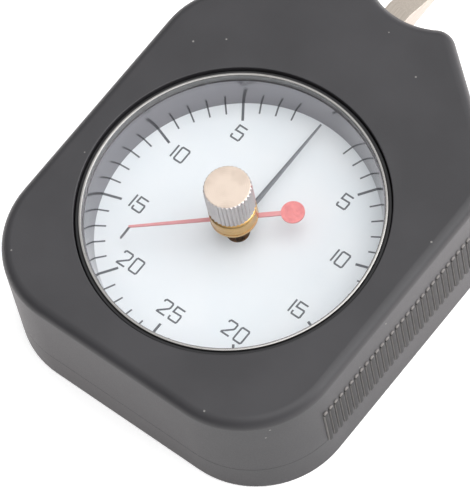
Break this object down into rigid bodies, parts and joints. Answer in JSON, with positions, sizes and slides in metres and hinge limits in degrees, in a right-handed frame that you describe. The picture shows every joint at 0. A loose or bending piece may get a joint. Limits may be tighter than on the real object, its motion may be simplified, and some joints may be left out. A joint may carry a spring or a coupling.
{
  "type": "dial tension gauge",
  "caption": "Hand-held dial tension gauge: charcoal plastic case, 25-0-25 dial, steel lever out of the top, red drag pointer with knurled reset knob",
  "frame": {"origin": "on the dial's axis at the flat back of the case, where it lies on a table", "axes": "+Z out of the dial, +Y to the dial's zero and the lever, +X to the dial's right"},
  "size_m": [0.0611, 0.1495, 0.0303],
  "materials": {
    "case_plastic": "fine moulded texture, satin",
    "dark_steel": "blackened",
    "dial_white": "matt white with grey print",
    "polished_ring": "polished",
    "clear_glass": "clear, polished",
    "dark_rubber": "matt",
    "brass": "turned, bright",
    "brushed_steel": "ground and brushed",
    "spring_steel": "drawn",
    "black_paint": "satin",
    "nickel": "nickel plate over turned and knurled brass",
    "red_paint": "salmon red, satin"
  },
  "bodies": {
    "case": {"front_case": "case_plastic", "rear_cover": "case_plastic", "case_screw_1": "dark_steel", "case_screw_2": "dark_steel", "case_screw_3": "dark_steel", "case_screw_4": "dark_steel", "dial_plate": "dial_white", "reflector_ring": "polished_ring", "crystal": "clear_glass", "bezel_ring": "polished_ring", "bezel_gasket": "dark_rubber", "crystal_bush": "brass", "bush_nut": "brass", "front_plate": "brass", "rear_plate": "brass", "pillar_1": "brushed_steel", "pillar_2": "brushed_steel", "pillar_3": "brushed_steel", "pillar_4": "brushed_steel", "plate_screw_1": "dark_steel", "plate_screw_2": "dark_steel", "plate_screw_3": "dark_steel", "plate_screw_4": "dark_steel", "mount_screw_1": "dark_steel", "mount_screw_2": "dark_steel", "mount_screw_3": "dark_steel", "mount_screw_4": "dark_steel", "arbor_bush_rear": "brass", "arbor_bush_front": "brass", "pivot_bush_rear": "brass", "pivot_bush_front": "brass", "stop_pin_left": "brushed_steel", "stop_pin_right": "brushed_steel", "hairspring": "spring_steel", "hairspring_stud": "brass", "centring_spring": "spring_steel", "spring_post": "brushed_steel"},
    "lever": {"lever_bar": "brushed_steel", "lever_hub": "brushed_steel", "lever_screw_1": "dark_steel", "lever_screw_2": "dark_steel", "pivot_shaft": "brushed_steel", "sector_gear": "brass", "drive_pin": "brushed_steel"},
    "pointer": {"pointer_arbor": "brushed_steel", "pinion": "brass", "hairspring_collet": "brass", "needle_hub": "black_paint", "needle": "black_paint"},
    "drag_pointer": {"reset_knob": "nickel", "reset_spindle": "brushed_steel", "red_pointer": "red_paint", "pointer_washer": "brass"}
  },
  "joints": [
    {"name": "lever_swing", "type": "hinge", "parent": "case", "child": "lever", "pos_m": [0, 0.0315, 0], "axis": [0, 0, 1], "range_deg": [-12.86, 12.86], "stiffness_Nm_per_rad": 0.1, "deforming": ["centring_spring"]},
    {"name": "pointer_spin", "type": "hinge", "parent": "case", "child": "pointer", "pos_m": [0, 0, 0], "axis": [0, 0, 1], "range_deg": [-180, 180], "deforming": ["hairspring"]},
    {"name": "drag_pointer_turn", "type": "hinge", "parent": "case", "child": "drag_pointer", "pos_m": [0, 0, 0], "axis": [0, 0, 1], "continuous": true}
  ],
  "couplings": [
    {"joint": "pointer_spin", "follows": "lever_swing", "ratio": -14}
  ]
}
